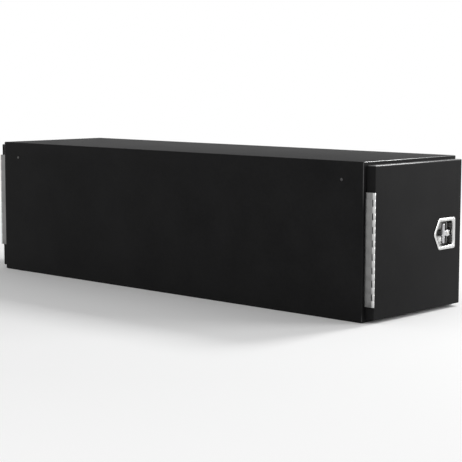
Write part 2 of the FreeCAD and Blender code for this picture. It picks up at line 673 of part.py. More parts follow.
def latchBush(side):
    """Sleeve pressed into the dish's floor. The spindle runs in it."""
    body = newBody(side + "_latch_bush")
    barrel = discs(body, side + "BushBarrel", "XY_Plane", [("spindleOffset", "0")], "bushRadius",
                   "bushStand - dishFloor")
    pad(body, barrel, "bushStand + bushLength", backwards=True)
    bore = discs(body, side + "BushBore", "XY_Plane", [("spindleOffset", "0")], "shaftRadius + runningGap",
                 "0")
    pocket(body, bore, "2 * dishDepth")
    seatInLatch(body, side, "latch_bush")


def hexagon(body, name, centre, radius, offset, role="XY_Plane"):
    """A nut's outline, given by the radius over its corners."""
    across = "(" + radius + ") * 0.5"
    up = "(" + radius + ") * sqrt(3) / 2"
    u, v = centre
    return polygon(body, name, role, [
        (u + " + " + radius, v), (u + " + " + across, v + " + " + up), (u + " - " + across, v + " + " + up),
        (u + " - (" + radius + ")", v), (u + " - " + across, v + " - " + up),
        (u + " + " + across, v + " - " + up)], offset)


def lockKeeper(side):
    """Hook on the dish floor that the lock's pawl turns under."""
    body = newBody(side + "_lock_keeper")
    hookU = "lockU - pawlReach"
    hookW = "-keeperTop - keeperGauge"
    post = polygon(body, side + "Keeper", "XZ_Plane", [
        (hookU + " - keeperGap - keeperGauge", "-dishFloor"), (hookU + " - keeperGap", "-dishFloor"),
        (hookU + " - keeperGap", hookW), (hookU + " + keeperHook - keeperGauge", hookW),
        (hookU + " + keeperHook - keeperGauge", hookW + " + keeperGauge"),
        (hookU + " - keeperGap - keeperGauge", hookW + " + keeperGauge")])
    pad(body, post, "keeperWidth", bothWays=True)
    seatInLatch(body, side, "lock_keeper")


# Spindle, cam and their nut turn together.

def latchSpindle(side):
    body = newBody(side + "_latch_spindle")
    axis = [("spindleOffset", "0")]
    shaft = discs(body, side + "Shaft", "XY_Plane", axis, "shaftRadius", "-collarFoot")
    pad(body, shaft, "camFace - collarFoot", backwards=True)
    collar = discs(body, side + "Collar", "XY_Plane", axis, "collarRadius", "-collarFoot")
    pad(body, collar, "collarHeight")
    tongue = rectangle(body, side + "Tongue", "XZ_Plane",
                       ("spindleOffset - tongueRadius", "collarHeight - collarFoot"),
                       ("spindleOffset + tongueRadius", "-pivotDepth"))
    pad(body, tongue, "2 * tongueHalfWidth", bothWays=True)
    knob = discs(body, side + "TongueEnd", "XZ_Plane", [("spindleOffset", "-pivotDepth")], "tongueRadius")
    pad(body, knob, "2 * tongueHalfWidth", bothWays=True)
    cross = discs(body, side + "TongueHole", "XZ_Plane", [("spindleOffset", "-pivotDepth")],
                  "handlePinRadius + runningGap")
    pocket(body, cross, "2 * tongueHalfWidth + 1", bothWays=True)
    square = rectangle(body, side + "CamSquare", "XY_Plane",
                       ("spindleOffset - camSquare / 2", "-camSquare / 2"),
                       ("spindleOffset + camSquare / 2", "camSquare / 2"), "-camFace")
    pad(body, square, "camGauge", backwards=True)
    stud = discs(body, side + "CamStud", "XY_Plane", axis, "studRadius", "-camFace - camGauge")
    pad(body, stud, "camNutHeight + studTail", backwards=True)
    seatInLatch(body, side, "latch_spindle")


def latchCam(side):
    """Flat arm that points up when the latch is free and to the frame when it holds."""
    body = newBody(side + "_latch_cam")
    up = "" if side == "right" else "-"
    hub = discs(body, side + "CamHub", "XY_Plane", [("spindleOffset", "0")], "camHubRadius", "-camFace")
    pad(body, hub, "camGauge", backwards=True)
    reach = "(camReach - camNoseRadius)"
    arm = polygon(body, side + "CamArm", "XY_Plane", [
        ("spindleOffset - camHubRadius", "0"), ("spindleOffset - camNoseRadius", up + reach),
        ("spindleOffset + camNoseRadius", up + reach), ("spindleOffset + camHubRadius", "0")], "-camFace")
    pad(body, arm, "camGauge", backwards=True)
    nose = discs(body, side + "CamNose", "XY_Plane", [("spindleOffset", up + reach)], "camNoseRadius",
                 "-camFace")
    pad(body, nose, "camGauge", backwards=True)
    square = rectangle(body, side + "CamHole", "XY_Plane",
                       ("spindleOffset - camSquare / 2 - runningGap", "-camSquare / 2 - runningGap"),
                       ("spindleOffset + camSquare / 2 + runningGap", "camSquare / 2 + runningGap"), "0")
    pocket(body, square, "2 * camFace")
    seatInLatch(body, side, "latch_cam")


def latchCamNut(side):
    body = newBody(side + "_latch_cam_nut")
    nut = hexagon(body, side + "CamNut", ("spindleOffset", "0"), "camNutRadius", "-camFace - camGauge")
    pad(body, nut, "camNutHeight", backwards=True)
    bore = discs(body, side + "CamNutBore", "XY_Plane", [("spindleOffset", "0")], "studRadius + threadGap",
                 "0")
    pocket(body, bore, "2 * camFace")
    seatInLatch(body, side, "latch_cam_nut")


# The folding T-handle with its lock

def tHandle(side):
    body = newBody(side + "_t_handle")
    stem = rectangle(body, side + "Stem", "XZ_Plane", ("gripU", "-stemFoot"),
                     ("spindleOffset", "-stemTop"))
    pad(body, stem, "2 * stemHalfWidth", bothWays=True)
    ear = discs(body, side + "Ear", "XZ_Plane", [("spindleOffset", "-pivotDepth")], "earRadius")
    pad(body, ear, "2 * stemHalfWidth", bothWays=True)
    housing = discs(body, side + "Housing", "XY_Plane", [("lockU", "0")], "housingRadius", "-housingTop")
    pad(body, housing, "housingDepth", backwards=True)
    chamfered(body, side + "HousingEdge", "housingEdge", lambda edge: (
        level(edge, "Z", -size("housingTop")) and edge.Length > size("housingRadius") * 2))
    outerFlat, bevel = "gripRadius", "gripRadius - gripBevel"
    grip = polygon(body, side + "Grip", "XZ_Plane", [
        ("gripU + %s * (%s)" % (across, one), "-gripDepth + %s * (%s)" % (up, other))
        for across, up, one, other in (
            (1, 1, outerFlat, bevel), (1, 1, bevel, outerFlat), (-1, 1, bevel, outerFlat),
            (-1, 1, outerFlat, bevel), (-1, -1, outerFlat, bevel), (-1, -1, bevel, outerFlat),
            (1, -1, bevel, outerFlat), (1, -1, outerFlat, bevel))])
    pad(body, grip, "2 * gripHalfLength", bothWays=True)
    chamfered(body, side + "GripEnds", "gripEndBevel", lambda edge: (
        level(edge, "Y", size("gripHalfLength")) or level(edge, "Y", -size("gripHalfLength"))))
    fork = rectangle(body, side + "Fork", "XY_Plane",
                     ("forkFloorU", "-tongueHalfWidth - forkGap"),
                     ("spindleOffset + earRadius + 1", "tongueHalfWidth + forkGap"), "0")
    pocket(body, fork, "2 * dishDepth")
    hole = discs(body, side + "EarHole", "XZ_Plane", [("spindleOffset", "-pivotDepth")], "handlePinRadius")
    pocket(body, hole, "2 * stemHalfWidth + 1", bothWays=True)
    bore = discs(body, side + "LockBore", "XY_Plane", [("lockU", "0")], "barrelRadius", "0")
    pocket(body, bore, "2 * dishDepth")
    seatInLatch(body, side, "t_handle")


def handlePin(side):
    body = newBody(side + "_handle_pin")
    pin = discs(body, side + "HandlePin", "XZ_Plane", [("spindleOffset", "-pivotDepth")], "handlePinRadius")
    pad(body, pin, "2 * stemHalfWidth", bothWays=True)
    seatInLatch(body, side, "handle_pin")


def lockBarrel(side):
    body = newBody(side + "_lock_barrel")
    lip = discs(body, side + "BarrelLip", "XY_Plane", [("lockU", "0")], "barrelLipRadius", "-housingTop")
    pad(body, lip, "barrelLip")
    case = discs(body, side + "BarrelCase", "XY_Plane", [("lockU", "0")], "barrelRadius", "-housingTop")
    pad(body, case, "housingDepth", backwards=True)
    bore = discs(body, side + "BarrelBore", "XY_Plane", [("lockU", "0")], "plugRadius + runningGap", "0")
    pocket(body, bore, "2 * dishDepth")
    seatInLatch(body, side, "lock_barrel")


def lockPlug(side):
    """Keyed plug with a pawl on its tail. The pawl lies along the door's height when unlocked."""
    body = newBody(side + "_lock_plug")
    face = "barrelLip - housingTop"
    plug = discs(body, side + "Plug", "XY_Plane", [("lockU", "0")], "plugRadius", face)
    pad(body, plug, "barrelLip - housingTop + pawlTop", backwards=True)
    key = rectangle(body, side + "KeySlot", "XY_Plane", ("lockU - keyWidth / 2", "-keyHeight / 2"),
                    ("lockU + keyWidth / 2", "keyHeight / 2"), face)
    pocket(body, key, "keyDepth")
    up = "" if side == "right" else "-"
    pawl = polygon(body, side + "Pawl", "XY_Plane", [
        ("lockU - pawlHalfWidth", up + "(-pawlHalfWidth)"), ("lockU + pawlHalfWidth", up + "(-pawlHalfWidth)"),
        ("lockU + pawlHalfWidth", up + "pawlReach"), ("lockU - pawlHalfWidth", up + "pawlReach")],
        "-pawlTop")
    pad(body, pawl, "pawlGauge", backwards=True)
    seatInLatch(body, side, "lock_plug")


def strike(side):
    """Angle behind the frame's return. The cam bears on its wide leg."""
    body = newBody(side + "_strike")
    edgeY = "rearY - frameWidth"
    middle = "latchZ - strikeLength / 2"
    profile = polygon(body, side + "StrikeProfile", "XY_Plane", [
        ("endX - frameReturn - strikeGauge", edgeY), ("endX - frameReturn", edgeY),
        ("endX - frameReturn", edgeY + " + sheetGauge"),
        ("endX - frameReturn + strikeLeg", edgeY + " + sheetGauge"),
        ("endX - frameReturn + strikeLeg", edgeY + " + sheetGauge + strikeGauge"),
        ("endX - frameReturn", edgeY + " + sheetGauge + strikeGauge"),
        ("endX - frameReturn", edgeY + " + strikeWidth"),
        ("endX - frameReturn - strikeGauge", edgeY + " + strikeWidth")], middle)
    pad(body, profile, "strikeLength")
    seatAtEnd(body, side, "strike")


# The stay bolts by the front top corners

def stayBolts():
    body = newBody("stay_bolts")
    head = discs(body, "StayHeads", "XZ_Plane", stayPlaces(), "stayHeadRadius", "-frontY")
    pad(body, head, "stayHeadHeight")
    shank = discs(body, "StayShanks", "XZ_Plane", stayPlaces(), "stayShankRadius", "-frontY")
    pad(body, shank, "sheetGauge + stayNutHeight + stayShankTail", backwards=True)
    keep(body, "stay_bolts")


def stayNuts():
    body = newBody("stay_nuts")
    for k, place in enumerate(stayPlaces()):
        nut = hexagon(body, "StayNut%d" % k, place, "stayNutRadius", "-(frontY + sheetGauge)", "XZ_Plane")
        pad(body, nut, "stayNutHeight", backwards=True)
    bore = discs(body, "StayNutBores", "XZ_Plane", stayPlaces(), "stayShankRadius + threadGap", "-frontY")
    pocket(body, bore, "bodyDepth / 4")
    keep(body, "stay_nuts")


frontTopShell()
rearFloorShell()
roofStiffeners()
stayBolts()
stayNuts()
for side in ("right", "left"):
    endFrame(side)
    hingeRail(side)
    hingeLeaf(side, "frame_leaf", True)
    hingePin(side)
    strike(side)
    doorSkin(side)
    doorLiner(side)
    hingeLeaf(side, "door_leaf", False)
    doorSeal(side)
    doorStayEye(side)
    latchDish(side)
    latchGasket(side)
    latchRivets(side)
    latchBush(side)
    lockKeeper(side)
    latchSpindle(side)
    latchCam(side)
    latchCamNut(side)
    tHandle(side)
    handlePin(side)
    lockBarrel(side)
    lockPlug(side)
doc.recompute()

for thing in doc.Objects:
    if "Invalid" in thing.State or "Error" in thing.State:
        raise ValueError(thing.Name + " failed")
for name, thing in finished:
    if thing.Shape.isNull() or not thing.Shape.isValid():
        raise ValueError(name + " has no valid shape")

os.makedirs("parts", exist_ok=True)
for name, thing in finished:
    thing.Shape.exportStep("parts/" + name + ".step")
    print(name, len(thing.Shape.Solids), round(thing.Shape.Volume), thing.Shape.BoundBox)
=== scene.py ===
import json
import math
import bmesh
import bpy
from mathutils import Matrix, Vector


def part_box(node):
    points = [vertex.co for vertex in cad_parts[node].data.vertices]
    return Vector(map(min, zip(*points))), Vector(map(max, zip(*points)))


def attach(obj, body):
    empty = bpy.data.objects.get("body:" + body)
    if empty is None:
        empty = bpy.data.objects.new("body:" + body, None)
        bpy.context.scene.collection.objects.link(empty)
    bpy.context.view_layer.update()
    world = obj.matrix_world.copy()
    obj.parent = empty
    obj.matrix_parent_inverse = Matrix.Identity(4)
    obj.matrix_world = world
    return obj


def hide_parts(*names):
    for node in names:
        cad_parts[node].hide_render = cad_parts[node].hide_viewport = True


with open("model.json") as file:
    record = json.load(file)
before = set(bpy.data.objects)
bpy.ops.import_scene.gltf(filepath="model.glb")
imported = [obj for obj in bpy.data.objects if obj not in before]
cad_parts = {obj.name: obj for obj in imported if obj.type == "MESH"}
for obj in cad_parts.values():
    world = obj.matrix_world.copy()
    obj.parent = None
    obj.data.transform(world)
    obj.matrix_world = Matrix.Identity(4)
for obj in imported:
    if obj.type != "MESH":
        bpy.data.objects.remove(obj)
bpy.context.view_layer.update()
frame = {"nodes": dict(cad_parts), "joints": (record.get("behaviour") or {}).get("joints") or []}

mm = 0.001
hair = 1e-6  # metres within which two places count as one
for leftOver in ("Cube", "Light", "Camera"):
    if leftOver in bpy.data.objects:
        bpy.data.objects.remove(bpy.data.objects[leftOver])


# Places read from the frame, in metres

shellLow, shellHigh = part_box("front_top_shell")
bodyEnd, halfDepth, boxHeight = shellHigh.x, -shellLow.y, shellHigh.z
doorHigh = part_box("right_door_skin")[1]
pivots = {joint["name"]: Vector(joint["pos_m"]) for joint in frame["joints"]}


# Camera, where the photograph's stood

camera = {
    "place": (4.1763, -4.3668, 0.9312),
    "azimuth": 42.8845,
    "elevation": 6.5191,
    "roll": 0.1252,
    "lens": 106.66,
    "sensor": 36.0,
    "farthest": 200.0,
}


def setCamera():
    data = bpy.data.cameras.new("photoCamera")
    data.lens = camera["lens"]
    data.sensor_width = camera["sensor"]
    data.clip_end = camera["farthest"]
    eye = bpy.data.objects.new("photoCamera", data)
    bpy.context.scene.collection.objects.link(eye)
    around, above, roll = (math.radians(camera[angle]) for angle in ("azimuth", "elevation", "roll"))
    back = Vector((math.sin(around) * math.cos(above), -math.cos(around) * math.cos(above), math.sin(above)))
    level = Vector((0, 0, 1)).cross(back).normalized()
    right = level * math.cos(roll) + back.cross(level) * math.sin(roll)
    facing = Matrix((right, back.cross(right), back)).transposed().to_4x4()
    eye.matrix_world = Matrix.Translation(camera["place"]) @ facing
    bpy.context.scene.camera = eye


setCamera()
print("camera set")


# Finishes. A wire is one output socket, and arithmetic on wires adds their Math nodes.

class Wire:
    def __init__(self, finish, socket):
        self.finish = finish
        self.socket = socket

    def maths(self, operation, *values):
        return self.finish.node("ShaderNodeMath", {"operation": operation}, dict(enumerate(values)))

    def __add__(self, other):
        return self.maths("ADD", self, other)

    def __radd__(self, other):
        return self.maths("ADD", other, self)

    def __sub__(self, other):
        return self.maths("SUBTRACT", self, other)

    def __rsub__(self, other):
        return self.maths("SUBTRACT", other, self)

    def __mul__(self, other):
        return self.maths("MULTIPLY", self, other)

    def __rmul__(self, other):
        return self.maths("MULTIPLY", other, self)

    def __abs__(self):
        return self.maths("ABSOLUTE", self)

    def least(self, other):
        return self.maths("MINIMUM", self, other)


class Nodes:
    def __init__(self, tree):
        self.tree = tree

    def feed(self, socket, value):
        if isinstance(value, Wire):
            self.tree.links.new(value.socket, socket)
        else:
            socket.default_value = value

    def setStops(self, ramp, stops):
        ramp.elements[0].position = stops[0][0]
        ramp.elements[1].position = stops[-1][0]
        for place, level in stops[1:-1]:
            ramp.elements.new(place)
        for stop, (place, level) in zip(ramp.elements, stops):
            stop.color = (level, level, level, 1.0)

    def node(self, kind, settings, sockets, output=0):
        made = self.tree.nodes.new(kind)
        for setting, value in settings.items():
            if setting == "stops":
                self.setStops(made.color_ramp, value)
            else:
                setattr(made, setting, value)
        for socket, value in sockets.items():
            self.feed(made.inputs[socket], value)
        return Wire(self, made.outputs[output])


class Finish(Nodes):
    def __init__(self, name, plain):
        self.material = bpy.data.materials.new(name)
        self.material.use_nodes = True
        super().__init__(self.material.node_tree)
        self.shader = self.tree.nodes["Principled BSDF"]
        for socket, value in plain.items():
            self.shader.inputs[socket].default_value = value

    def places(self, stretch=(1.0, 1.0, 1.0)):
        coords = self.node("ShaderNodeTexCoord", {}, {}, "Object")
        return self.node("ShaderNodeMapping", {}, {"Vector": coords, "Scale": stretch})

    def along(self, axis):
        return self.node("ShaderNodeSeparateXYZ", {}, {0: self.places()}, axis)

    def noise(self, scale, detail, stretch=(1.0, 1.0, 1.0)):
        sockets = {"Vector": self.places(stretch), "Scale": scale, "Detail": detail}
        return self.node("ShaderNodeTexNoise", {}, sockets)

    def ramp(self, value, stops):
        return self.node("ShaderNodeValToRGB", {"stops": stops}, {"Fac": value})

    def between(self, value, low, high):
        # 0 up to low and 1 from high on
        return self.ramp(value, [(low, 0.0), (high, 1.0)])

    def uneven(self, level, *swings):
        # a level that each noise shifts up and down by half its span
        for noise, span in swings:
            level = level + (noise - 0.5) * span
        return level

    def tint(self, factor, first, second):
        ends = [colour if isinstance(colour, Wire) else (*colour, 1.0) for colour in (first, second)]
        return self.node("ShaderNodeMix", {"data_type": "RGBA"}, {0: factor, 6: ends[0], 7: ends[1]}, 2)

    def grey(self, level, blue):
        # blue is the blue channel's share of the other two
        return self.node("ShaderNodeCombineColor", {}, {0: level, 1: level, 2: level * blue})

    def bump(self, height, distance, strength, under=None):
        sockets = {"Height": height, "Distance": distance, "Strength": strength}
        if under is not None:
            sockets["Normal"] = under
        return self.node("ShaderNodeBump", {}, sockets)

    def give(self, **sockets):
        # an underscore stands for the space in a socket's name
        for socket, value in sockets.items():
            self.feed(self.shader.inputs[socket.replace("_", " ")], value)
        return self.material


paint = {
    "low": (0.0080, 0.0080, 0.0083),
    "high": (0.0125, 0.0125, 0.0128),
    "mottle": (0.35, 0.65),
    "cloudShare": 0.7,
    "cloudScale": 5.0,
    "speckScale": 90.0,
    "roughness": 0.61,
    "cloudRough": 0.10,
    "speckRough": 0.05,
    "peelScale": 620.0,
    "peelHeight": 0.00012,
    "peelStrength": 0.7,
    "sheetScale": 2.6,
    "sheetStretch": (1.0, 1.0, 0.45),
    "waves": {"panel": 0.0016, "door": 0.0012, "folded": 0.0006},  # how high each sheet is wavy, in m
    "specular": 0.06,
}
# Bends that hands and sleeves have rubbed smooth, also painted a little paler as a painted highlight, up to
# the width in mm from the edge
rubbedAndHighlight = {
    "colour": (0.040, 0.040, 0.041),
    "least": 0.3,
    "speck": 0.9,
    "coatRoughness": 0.22,
    "width": 4.2,
    "rise": 600.0,
    "stops": [(0.0, 0.0), (0.5, 0.8), (1.0, 1.0)],
    "endHeights": [(0.0, 0.9), (0.03, 0.6), (0.06, 0.05), (0.70, 0.05), (0.86, 1.0), (1.0, 1.0)],
}


def blackPowderCoat(name, wave, bends=None):
    # bends gives how much of the coat is rubbed smooth and painted paler as a highlight at each spot
    coat = Finish(name, {"Specular IOR Level": paint["specular"], "Coat Roughness": rubbedAndHighlight["coatRoughness"]})
    cloud = coat.noise(paint["cloudScale"], 3.0)
    speck = coat.noise(paint["speckScale"], 2.0)
    peel = coat.noise(paint["peelScale"], 1.0)
    sheet = coat.noise(paint["sheetScale"], 1.0, paint["sheetStretch"])
    mottle = coat.between(cloud * paint["cloudShare"] + speck * (1 - paint["cloudShare"]), *paint["mottle"])
    colour = coat.tint(mottle, paint["low"], paint["high"])
    rough = coat.uneven(paint["roughness"], (cloud, paint["cloudRough"]), (speck, paint["speckRough"]))
    if bends is not None:
        shine = bends(coat)
        # painted highlight: the bends are painted paler than the rest of the coat, standing in for the light
        # they catch
        colour = coat.tint(shine * (rubbedAndHighlight["least"] + speck * rubbedAndHighlight["speck"]), colour, rubbedAndHighlight["colour"])
        coat.give(Coat_Weight=shine)
    swell = coat.bump(sheet, wave, 1.0)
    skin = coat.bump(peel, paint["peelHeight"], paint["peelStrength"], swell)
    return coat.give(Base_Color=colour, Roughness=rough, Normal=skin)


# the band of smoother coat and painted highlight, rising from the given width before the edge
def rubbedAndHighlightPast(coat, spot, edge):
    return coat.ramp((spot - (edge - rubbedAndHighlight["width"] * mm)) * rubbedAndHighlight["rise"], rubbedAndHighlight["stops"])


def endBends(coat):
    # both ends of the body, most near the top and a touch at the lowest corner, where the painted highlight
    # lies
    share = coat.ramp(coat.along("Z") * (1 / boxHeight), rubbedAndHighlight["endHeights"])
    return rubbedAndHighlightPast(coat, abs(coat.along("X")), bodyEnd) * share


def topBend(coat):
    # the door's upper bend, where the painted highlight lies
    return rubbedAndHighlightPast(coat, coat.along("Z"), doorHigh.z)


brushed = {
    "lineScale": 240.0,
    "cloudScale": 14.0,
    "grain": (0.35, 0.65),
    "roughness": 0.33,
    "lineRough": 0.14,
    "cloudRough": 0.12,
    "lineHeight": 0.00004,
    "lineStrength": 0.35,
    "knuckleDepth": 4.1,  # mm behind the door's face, where the knuckles begin and the plate's painted darkening ends
    "knuckleRise": 400.0,
    "grainLevel": 0.05,
    "blue": 0.99,
    "hinge": ((1.0, 1.0, 0.04), 0.215, 0.57),  # stretch of the lines, then the plate's grey, painted darker as a dim reflection, and the knuckles' lighter grey
    "small": ((0.1, 1.0, 1.0), 0.50, 0.64),
}


def brushedStainless(name, stretch, dull, pale, knuckles=False):
    # the plate beside the rolled knuckles is painted darker, a painted reflection of dim surroundings, and
    # the knuckles keep the lighter steel grey
    steel = Finish(name, {"Metallic": 1.0})
    lines = steel.noise(brushed["lineScale"], 3.0, stretch)
    cloud = steel.noise(brushed["cloudScale"], 3.0)
    grain = steel.between(lines * 0.5 + cloud * 0.5, *brushed["grain"])
    if knuckles:
        plateEnd = doorHigh.x - brushed["knuckleDepth"] * mm
        # painted reflection: the plate is painted darker than the knuckles, standing in for the dim
        # surroundings it reflects
        rolled = steel.between((abs(steel.along("X")) - plateEnd) * brushed["knuckleRise"], 0.0, 1.0)
        level = steel.uneven(rolled * (pale - dull) + dull, (grain, brushed["grainLevel"]))
        colour = steel.grey(level, brushed["blue"])
    else:
        colour = steel.tint(grain, (dull,) * 3, (pale,) * 3)
    rough = steel.uneven(brushed["roughness"], (lines, brushed["lineRough"]), (cloud, brushed["cloudRough"]))
    fine = steel.bump(lines, brushed["lineHeight"], brushed["lineStrength"])
    return steel.give(Base_Color=colour, Roughness=rough, Normal=fine)


pressed = {
    "brightFrom": 0.9,  # mm in front of the door's face, behind which the steel is painted darker as shade
    "deepRise": 40.0,
    "deep": [(0.0, 0.0), (0.12, 0.35), (0.8, 1.0)],
    "deepLoss": 0.60,
    "level": 0.50,
    "smudge": (0.3, 0.7),
    "smudgeLevel": 0.08,
    "blue": 0.985,
    "smudgeScale": 38.0,
    "rollingScale": 190.0,
    "rollingStretch": (1.0, 0.06, 1.0),
    "drawScale": 420.0,
    "roughness": 0.212,
    "smudgeRough": 0.12,
    "rollingRough": 0.08,
    "height": 0.00003,
    "strength": 0.5,
}


def pressedStainless(name):
    # the rim keeps the steel's bright colour, and the drawn walls and floor below it are painted darker the
    # deeper they lie, a painted shade of the recess
    steel = Finish(name, {"Metallic": 1.0})
    rimX = doorHigh.x + pressed["brightFrom"] * mm
    deep = steel.ramp((rimX - abs(steel.along("X"))) * pressed["deepRise"], pressed["deep"])
    rolling = steel.noise(pressed["rollingScale"], 2.0, pressed["rollingStretch"])
    smudge = steel.noise(pressed["smudgeScale"], 4.0)
    draw = steel.noise(pressed["drawScale"], 2.0)
    touched = pressed["level"] + steel.between(smudge, *pressed["smudge"]) * pressed["smudgeLevel"]
    # painted shade: the deeper the steel lies in the dish, the darker its colour
    colour = steel.grey((1.0 - deep * pressed["deepLoss"]) * touched, pressed["blue"])
    rough = steel.uneven(pressed["roughness"], (smudge, pressed["smudgeRough"]),
                         (rolling, pressed["rollingRough"]))
    fine = steel.bump(rolling, pressed["height"], pressed["strength"])
    drawn = steel.bump(draw, pressed["height"], pressed["strength"], fine)
    return steel.give(Base_Color=colour, Roughness=rough, Normal=drawn)


chrome = {
    "dark": (0.46, 0.46, 0.47),
    "light": (0.60, 0.60, 0.60),
    "touch": (0.3, 0.7),
    "touchScale": 45.0,
    "pourScale": 110.0,
    "roughness": 0.102,
    "touchRough": 0.12,
    "height": 0.00012,
    "strength": 0.5,
}


def castChrome(name):
    metal = Finish(name, {"Metallic": 1.0})
    pour = metal.noise(chrome["pourScale"], 2.0)
    touch = metal.noise(chrome["touchScale"], 4.0)
    colour = metal.tint(metal.between(touch, *chrome["touch"]), chrome["dark"], chrome["light"])
    rough = metal.uneven(chrome["roughness"], (touch, chrome["touchRough"]))
    return metal.give(Base_Color=colour, Roughness=rough,
                      Normal=metal.bump(pour, chrome["height"], chrome["strength"]))


zinc = {
    "clear": ((0.50, 0.52, 0.54), (0.68, 0.67, 0.62)),
    "black": ((0.060, 0.060, 0.062), (0.11, 0.11, 0.108)),
    "cloud": (0.35, 0.65),
    "cloudScale": 60.0,
    "spangleScale": 420.0,
    "roughness": 0.30,
    "cloudRough": 0.2,
    "spangleRough": 0.1,
    "height": 0.00004,
    "strength": 0.5,
}


def zincPlate(name, dark, light):
    metal = Finish(name, {"Metallic": 1.0})
    sockets = {"Vector": metal.places(), "Scale": zinc["spangleScale"]}
    spangle = metal.node("ShaderNodeTexVoronoi", {}, sockets)
    cloud = metal.noise(zinc["cloudScale"], 3.0)
    colour = metal.tint(metal.between(cloud, *zinc["cloud"]), dark, light)
    rough = metal.uneven(zinc["roughness"], (cloud, zinc["cloudRough"])) + spangle * zinc["spangleRough"]
    return metal.give(Base_Color=colour, Roughness=rough,
                      Normal=metal.bump(spangle, zinc["height"], zinc["strength"]))


nickel = {
    "dark": (0.60, 0.57, 0.50),
    "light": (0.74, 0.72, 0.66),
    "touch": (0.35, 0.65),
    "touchScale": 150.0,
    "ringScale": 900.0,
    "roughness": 0.2,
    "touchRough": 0.2,
    "height": 0.00003,
    "strength": 0.5,
}


def nickelPlug(name):
    metal = Finish(name, {"Metallic": 1.0})
    rings = metal.noise(nickel["ringScale"], 2.0)
    touch = metal.noise(nickel["touchScale"], 3.0)
    colour = metal.tint(metal.between(touch, *nickel["touch"]), nickel["dark"], nickel["light"])
    rough = metal.uneven(nickel["roughness"], (touch, nickel["touchRough"]))
    return metal.give(Base_Color=colour, Roughness=rough,
                      Normal=metal.bump(rings, nickel["height"], nickel["strength"]))


rubber = {
    "dark": (0.016, 0.016, 0.016),
    "light": (0.040, 0.040, 0.040),
    "bloom": (0.35, 0.7),
    "bloomScale": 26.0,
    "poreScale": 900.0,
    "roughness": 0.78,
    "bloomRough": 0.2,
    "height": 0.0003,
    "strength": 0.6,
    "specular": 0.35,
}


def blackRubber(name):
    foam = Finish(name, {"Specular IOR Level": rubber["specular"]})
    pores = foam.noise(rubber["poreScale"], 3.0)
    bloom = foam.noise(rubber["bloomScale"], 3.0)
    colour = foam.tint(foam.between(bloom, *rubber["bloom"]), rubber["dark"], rubber["light"])
    rough = foam.uneven(rubber["roughness"], (bloom, rubber["bloomRough"]))
    return foam.give(Base_Color=colour, Roughness=rough,
                     Normal=foam.bump(pores, rubber["height"], rubber["strength"]))


finishes = {
    "panel": blackPowderCoat("blackPowderCoatPanel", paint["waves"]["panel"], endBends),
    "door": blackPowderCoat("blackPowderCoatDoor", paint["waves"]["door"], topBend),
    "folded": blackPowderCoat("blackPowderCoatFolded", paint["waves"]["folded"]),
    "hinge": brushedStainless("brushedStainlessHinge", *brushed["hinge"], knuckles=True),
    "small": brushedStainless("brushedStainlessSmall", *brushed["small"]),
    "dish": pressedStainless("pressedStainlessDish"),
    "handle": castChrome("castChromeHandle"),
    "zinc": zincPlate("zincPlateHardware", *zinc["clear"]),
    "blackZinc": zincPlate("blackZincPlateBolts", *zinc["black"]),
    "plug": nickelPlug("nickelPlatedPlug"),
    "rubber": blackRubber("blackRubberSeal"),
}

finishedNodes = {
    "panel": ("front_top_shell", "rear_floor_shell"),
    "door": ("door_skin",),
    "folded": ("roof_stiffeners", "end_frame", "hinge_rail", "door_liner", "strike", "door_stay_eye"),
    "hinge": ("frame_leaf", "door_leaf", "hinge_pin"),
    "small": ("latch_bush", "lock_keeper", "latch_rivets", "handle_pin"),
    "dish": ("latch_dish",),
    "handle": ("t_handle", "lock_barrel"),
    "zinc": ("latch_cam", "latch_cam_nut", "latch_spindle"),
    "blackZinc": ("stay_bolts", "stay_nuts"),
    "plug": ("lock_plug",),
    "rubber": ("latch_gasket", "door_seal"),
}


def finishOf(node):
    plainName = node.replace("right_", "").replace("left_", "")
    return next(finish for finish, nodes in finishedNodes.items() if plainName in nodes)


for name, node in frame["nodes"].items():
    for slot in node.material_slots:
        slot.material = finishes[finishOf(name)]
print("finishes made")


# Tools of the bench

bench = {
    "merge": 0.002,  # mm
    "weld": 0.005,  # mm, for copies of CAD nodes
    "flat": 0.6,  # degrees between faces that are made one
    "segments": 3,  # of the edges rounded on the stem and the pawl
}


def clearHands():
    if bpy.context.object and bpy.context.object.mode == "EDIT":
        bpy.ops.object.mode_set(mode="OBJECT")
    bpy.ops.object.select_all(action="DESELECT")


def hold(piece):
    clearHands()
    piece.select_set(True)
    bpy.context.view_layer.objects.active = piece


def opened(piece):
    # the piece alone in edit mode, with all of it selected
    hold(piece)
    bpy.ops.object.mode_set(mode="EDIT")
    bpy.ops.mesh.select_all(action="SELECT")


def begin(add, extent=None, **where):
    # a primitive at its place, its size put into its mesh, left in edit mode
    clearHands()
    add(**where)
    piece = bpy.context.object
    if extent is not None:
        piece.scale = extent
    bpy.ops.object.transform_apply(location=True, rotation=True, scale=True)
    opened(piece)
    return piece


def block(low, high):
    # a plain block between two corners, left in edit mode
    low, high = Vector(low), Vector(high)
    return begin(bpy.ops.mesh.primitive_cube_add, high - low, size=1, location=(low + high) / 2)


def pick(kind, wanted):
    mesh = bmesh.from_edit_mesh(bpy.context.edit_object.data)
    bpy.ops.mesh.select_mode(type=kind)
    bpy.ops.mesh.select_all(action="DESELECT")
    for part in {"VERT": mesh.verts, "EDGE": mesh.edges, "FACE": mesh.faces}[kind]:
        if wanted(part):
            part.select_set(True)
    bmesh.update_edit_mesh(bpy.context.edit_object.data)


def joined(first, *others):
    clearHands()
    for piece in (first, *others):
        piece.select_set(True)
    bpy.context.view_layer.objects.active = first
    bpy.ops.object.join()
    return first


def modified(piece, kind, **settings):
    hold(piece)
    tool = piece.modifiers.new(kind.lower(), kind)
    for setting, value in settings.items():
        setattr(tool, setting, value)
    bpy.ops.object.modifier_apply(modifier=tool.name)
    return piece


